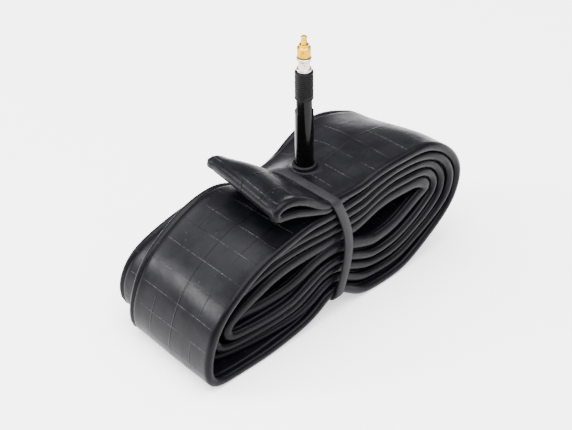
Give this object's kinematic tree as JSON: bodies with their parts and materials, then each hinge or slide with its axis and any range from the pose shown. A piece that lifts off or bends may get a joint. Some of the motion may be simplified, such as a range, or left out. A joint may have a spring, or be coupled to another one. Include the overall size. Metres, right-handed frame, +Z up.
{
  "type": "inner tube",
  "caption": "Bicycle inner tube as sold: flat butyl tube doubled, rolled and held by a rubber band, with a slim metal lift-pin valve standing on the outer turn.",
  "frame": {"origin": "centre of the underside of the rolled tube's box, on the surface it lies on", "axes": "+X along the roll, from the folded end towards the lobe past the valve; +Y across the flat width, towards the back; +Z up along the valve"},
  "size_m": [0.117, 0.0506, 0.0941],
  "materials": {
    "butyl": "satin",
    "band_rubber": "matte",
    "seal_rubber": "matte",
    "black_anodised": "gloss black anodised",
    "nickel_plate": "polished",
    "pin_brass": "polished",
    "nut_brass": "knurled"
  },
  "bodies": {
    "root": {"inner_tube": "butyl", "rubber_band": "band_rubber", "valve_base": "butyl", "valve_stem": "black_anodised"},
    "core_carrier": {"core_seal": "seal_rubber"},
    "core": {"core_body": "nickel_plate"},
    "pin": {"valve_pin": "pin_brass", "pin_plug": "seal_rubber", "plug_cup": "pin_brass"},
    "nut": {"lock_nut": "nut_brass"}
  },
  "joints": [
    {"name": "core_lift", "type": "slide", "parent": "root", "child": "core_carrier", "axis": [0, 0, 1], "range_m": [0, 0.0065]},
    {"name": "core_turn", "type": "hinge", "parent": "core_carrier", "child": "core", "pos_m": [0.00405, -0.0039, 0.0845], "axis": [0, 0, 1], "range_deg": [0, 4680.1]},
    {"name": "pin_slide", "type": "slide", "parent": "core", "child": "pin", "axis": [0, 0, 1], "range_m": [-0.002, 0]},
    {"name": "nut_turn", "type": "hinge", "parent": "core", "child": "nut", "pos_m": [0.00405, -0.0039, 0.089], "axis": [0, 0, 1], "range_deg": [0, 1800.1]}
  ],
  "couplings": [
    {"joint": "core_turn", "follows": "core_lift", "rad_per_m": 12566},
    {"joint": "nut_turn", "follows": "pin_slide", "rad_per_m": -15708}
  ]
}
